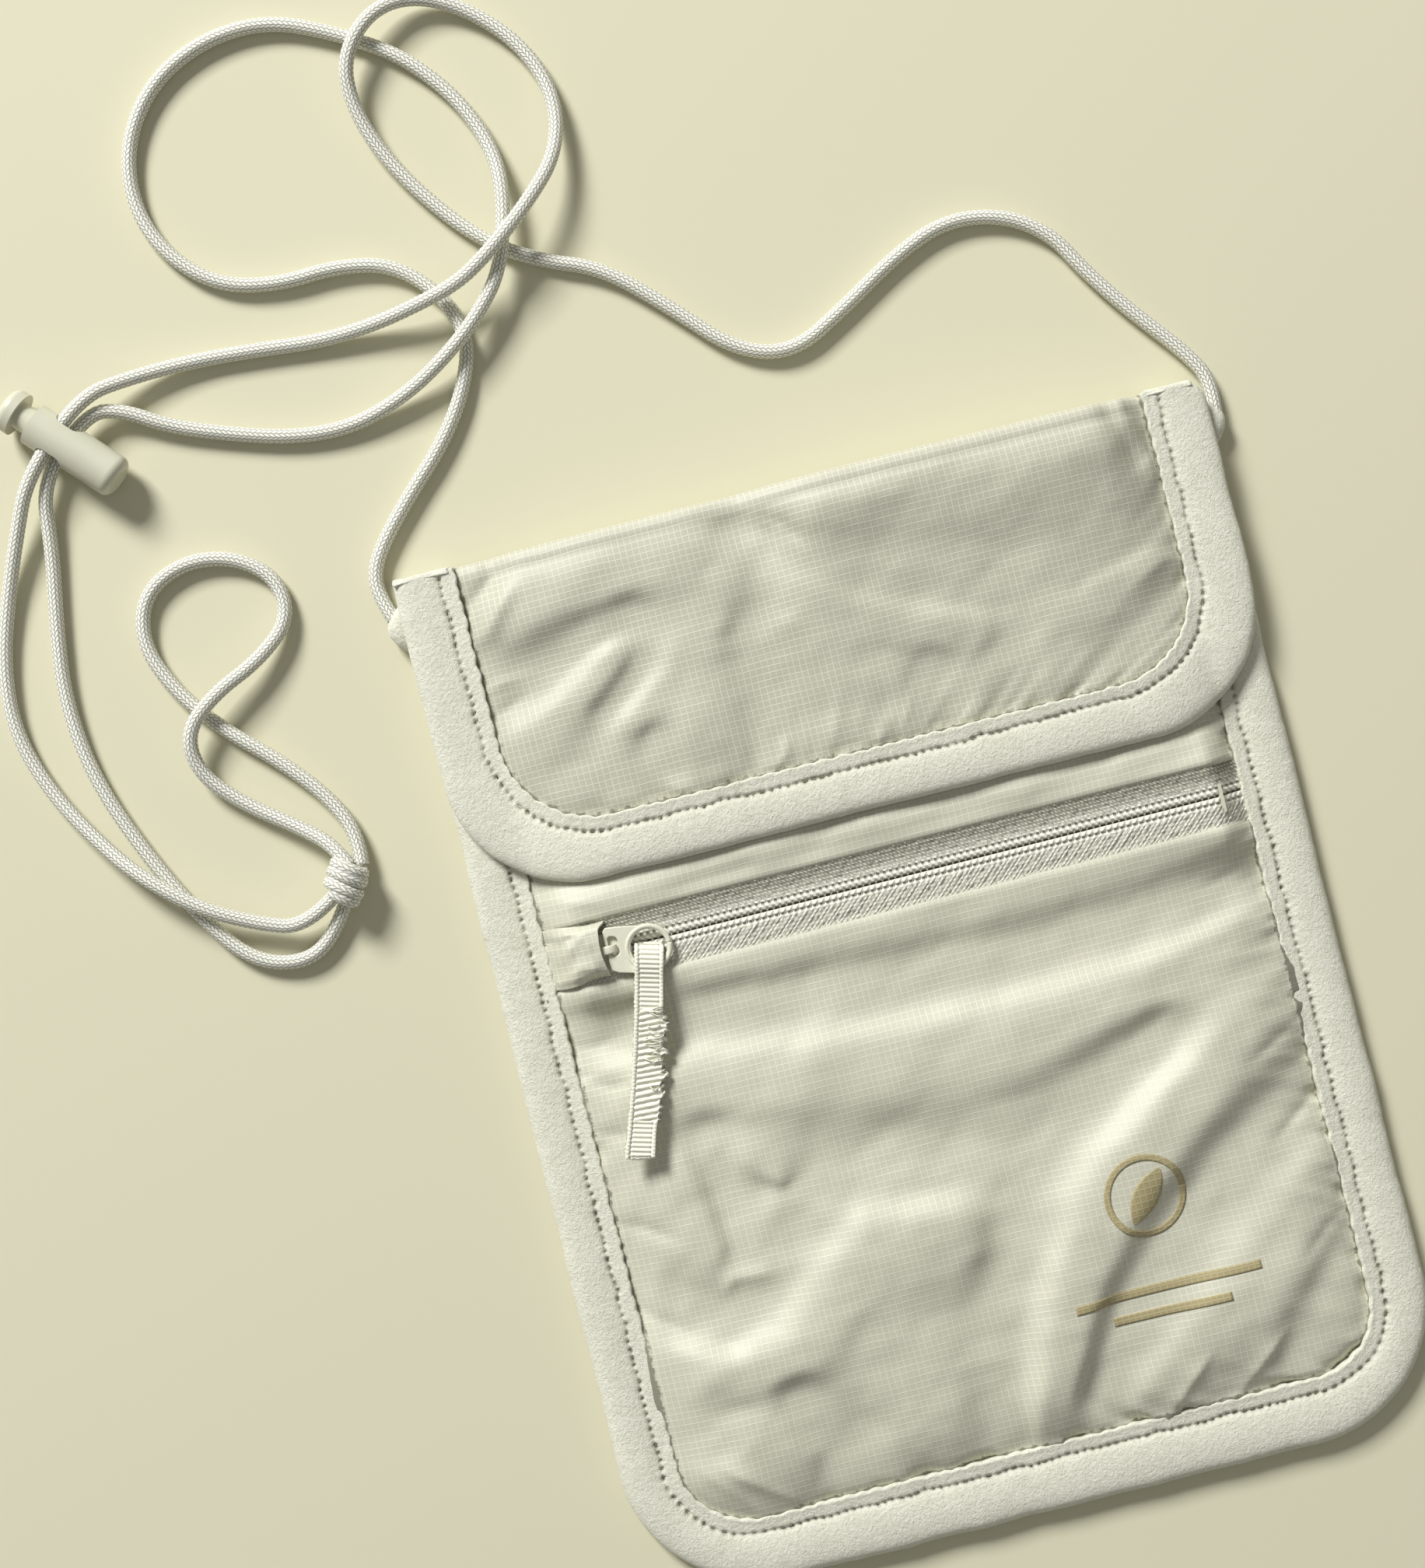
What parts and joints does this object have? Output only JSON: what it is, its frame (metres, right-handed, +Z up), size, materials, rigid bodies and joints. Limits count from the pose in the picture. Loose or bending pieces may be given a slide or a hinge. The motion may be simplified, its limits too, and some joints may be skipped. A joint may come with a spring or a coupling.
{
  "type": "neck pouch wallet",
  "caption": "Flat fabric neck pouch with a bound edge, a fold-over flap, a front zip pocket with a ribbon pull, and a neck cord with a sprung cord lock.",
  "frame": {"origin": "centre of the pouch's outline, on the surface that its back lies on", "axes": "+X across the pouch, to the right seen from the front; +Y along its height, towards the flap's fold; +Z up, out of its front"},
  "size_m": [0.2126, 0.2778, 0.0105],
  "materials": {
    "ripstop": "satin ripstop nylon, cream",
    "lining": "plain woven nylon, cream",
    "binding_tape": "brushed knitted tape, matte cream",
    "zip_tape": "woven polyester tape, cream",
    "zip_coil": "nylon coil, cream",
    "slider_paint": "baked cream paint, semi-gloss",
    "ribbon": "ribbed grosgrain, cream",
    "closure_tape": "hook and loop, cream",
    "cord": "round braided polyester, cream",
    "lock_plastic": "smooth moulded plastic, cream",
    "spring_steel": "bright drawn wire"
  },
  "bodies": {
    "pouch": {"back_panel": "ripstop", "divider_panel": "lining", "front_upper_panel": "ripstop", "front_lower_panel": "ripstop", "body_binding": "binding_tape", "zip_tape_lower": "zip_tape", "zip_tape_upper": "zip_tape", "zip_coil_lower": "zip_coil", "zip_coil_upper": "zip_coil", "zip_stops": "zip_coil", "zip_garage": "ripstop", "loop_strip": "closure_tape", "cord_loop_right": "binding_tape", "cord_loop_left": "binding_tape", "cord_right": "cord", "cord_left": "cord", "cord_tail": "cord", "cord_knot": "cord", "lock_barrel": "lock_plastic", "lock_spring": "spring_steel"},
    "flap_fold": {"flap_fold": "ripstop"},
    "flap": {"flap_shell": "ripstop", "flap_lining": "lining", "flap_binding": "binding_tape", "hook_strip": "closure_tape"},
    "zip_slider": {"zip_slider": "slider_paint"},
    "zip_puller": {"zip_puller": "slider_paint", "ribbon_loop": "ribbon"},
    "pull_ribbon": {"pull_ribbon": "ribbon"},
    "lock_plunger": {"lock_plunger": "lock_plastic"}
  },
  "joints": [
    {"name": "fold_hinge", "type": "hinge", "parent": "pouch", "child": "flap_fold", "pos_m": [0, 0.0888, 0.0022], "axis": [-1, 0, 0], "range_deg": [0, 70]},
    {"name": "flap_hinge", "type": "hinge", "parent": "flap_fold", "child": "flap", "pos_m": [0, 0.0896, 0.0089], "axis": [-1, 0, 0], "range_deg": [0, 70]},
    {"name": "slider_travel", "type": "slide", "parent": "pouch", "child": "zip_slider", "axis": [1, 0, 0], "range_m": [0, 0.1]},
    {"name": "puller_hinge", "type": "hinge", "parent": "zip_slider", "child": "zip_puller", "pos_m": [-0.04975, 0.02, 0.009], "axis": [0, -1, 0], "range_deg": [0, 90]},
    {"name": "ribbon_hinge", "type": "hinge", "parent": "zip_puller", "child": "pull_ribbon", "pos_m": [-0.0432, 0.0146, 0.009], "axis": [0, -1, 0], "range_deg": [-90, 0]},
    {"name": "lock_press", "type": "slide", "parent": "pouch", "child": "lock_plunger", "axis": [0.6807, -0.7325, 0], "range_m": [0, 0.0025], "stiffness_N_per_m": 400, "springref_m": -0.002, "deforming": ["lock_spring"]}
  ],
  "couplings": [
    {"joint": "flap_hinge", "follows": "fold_hinge", "ratio": 1},
    {"joint": "ribbon_hinge", "follows": "puller_hinge", "ratio": -1}
  ]
}
